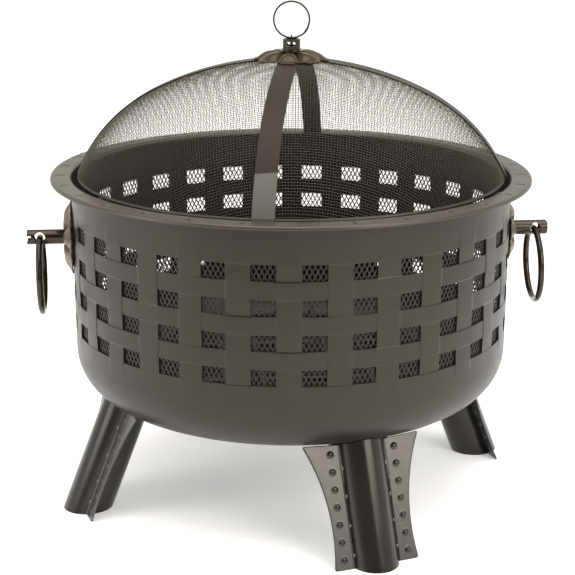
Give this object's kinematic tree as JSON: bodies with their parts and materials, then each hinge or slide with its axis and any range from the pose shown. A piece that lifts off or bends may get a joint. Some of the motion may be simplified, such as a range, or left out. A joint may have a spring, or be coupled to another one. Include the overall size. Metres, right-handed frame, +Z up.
{
  "type": "fire pit with grate",
  "caption": "Round steel fire bowl with a basket-pattern window wall on splayed winged legs, ring handles, an inner log grate and a lift-off domed spark screen.",
  "frame": {"origin": "on the floor, on the bowl's axis", "axes": "+Z up; X through the two side handles, -Y towards the front"},
  "size_m": [0.73, 0.66, 0.6866],
  "materials": {
    "bowl_paint": "semi-gloss dark bronze-grey heat paint",
    "leg_paint": "satin dark steel-grey",
    "mesh_black": "satin black wire",
    "strap_bronze": "satin dark bronze",
    "antique_bronze": "antique bronze, satin",
    "gunmetal": "glossy gunmetal",
    "fastener_zinc": "darkened zinc",
    "grate_iron": "matt black heat paint"
  },
  "bodies": {
    "fire_pit": {"fire_bowl": "bowl_paint", "mesh_liner": "mesh_black", "screen_clips": "bowl_paint", "leg_1_tube": "leg_paint", "leg_1_left_wing": "leg_paint", "leg_1_right_wing": "leg_paint", "leg_1_top_plate": "leg_paint", "leg_2_tube": "leg_paint", "leg_2_left_wing": "leg_paint", "leg_2_right_wing": "leg_paint", "leg_2_top_plate": "leg_paint", "leg_3_tube": "leg_paint", "leg_3_left_wing": "leg_paint", "leg_3_right_wing": "leg_paint", "leg_3_top_plate": "leg_paint", "leg_4_tube": "leg_paint", "leg_4_left_wing": "leg_paint", "leg_4_right_wing": "leg_paint", "leg_4_top_plate": "leg_paint", "leg_bolts": "fastener_zinc", "leg_washers": "fastener_zinc", "leg_nuts": "fastener_zinc", "left_rosette": "antique_bronze", "right_rosette": "antique_bronze", "left_standoff": "gunmetal", "right_standoff": "gunmetal", "handle_bolts": "fastener_zinc", "handle_washers": "fastener_zinc", "handle_spacers": "gunmetal"},
    "spark_screen": {"screen_mesh": "mesh_black", "screen_rim": "mesh_black", "long_strap": "strap_bronze", "left_strap": "strap_bronze", "right_strap": "strap_bronze", "screen_cap": "antique_bronze", "cap_disc": "antique_bronze", "lift_post": "gunmetal", "eye_bolt": "fastener_zinc", "eye_washer": "fastener_zinc", "eye_nut": "fastener_zinc"},
    "lift_ring_body": {"lift_ring": "gunmetal"},
    "left_ring_body": {"left_ring": "gunmetal"},
    "right_ring_body": {"right_ring": "gunmetal"},
    "log_grate": {"grate_hoop": "grate_iron", "grate_bars": "grate_iron", "grate_braces": "grate_iron", "grate_feet": "grate_iron"}
  },
  "joints": [
    {"name": "screen_lift", "type": "slide", "parent": "fire_pit", "child": "spark_screen", "axis": [0, 0, 1], "range_m": [0, 0.25]},
    {"name": "lift_ring_swing", "type": "hinge", "parent": "spark_screen", "child": "lift_ring_body", "pos_m": [0, 0, 0.6369], "axis": [0.9774, -0.2113, 0], "range_deg": [-85, 85]},
    {"name": "left_ring_swing", "type": "hinge", "parent": "fire_pit", "child": "left_ring_body", "pos_m": [-0.3475, 0, 0.365], "axis": [0, 1, 0], "range_deg": [-20, 180]},
    {"name": "right_ring_swing", "type": "hinge", "parent": "fire_pit", "child": "right_ring_body", "pos_m": [0.3475, 0, 0.365], "axis": [0, -1, 0], "range_deg": [-20, 180]},
    {"name": "grate_lift", "type": "slide", "parent": "fire_pit", "child": "log_grate", "axis": [0, 0, 1], "range_m": [0, 0.33]}
  ]
}
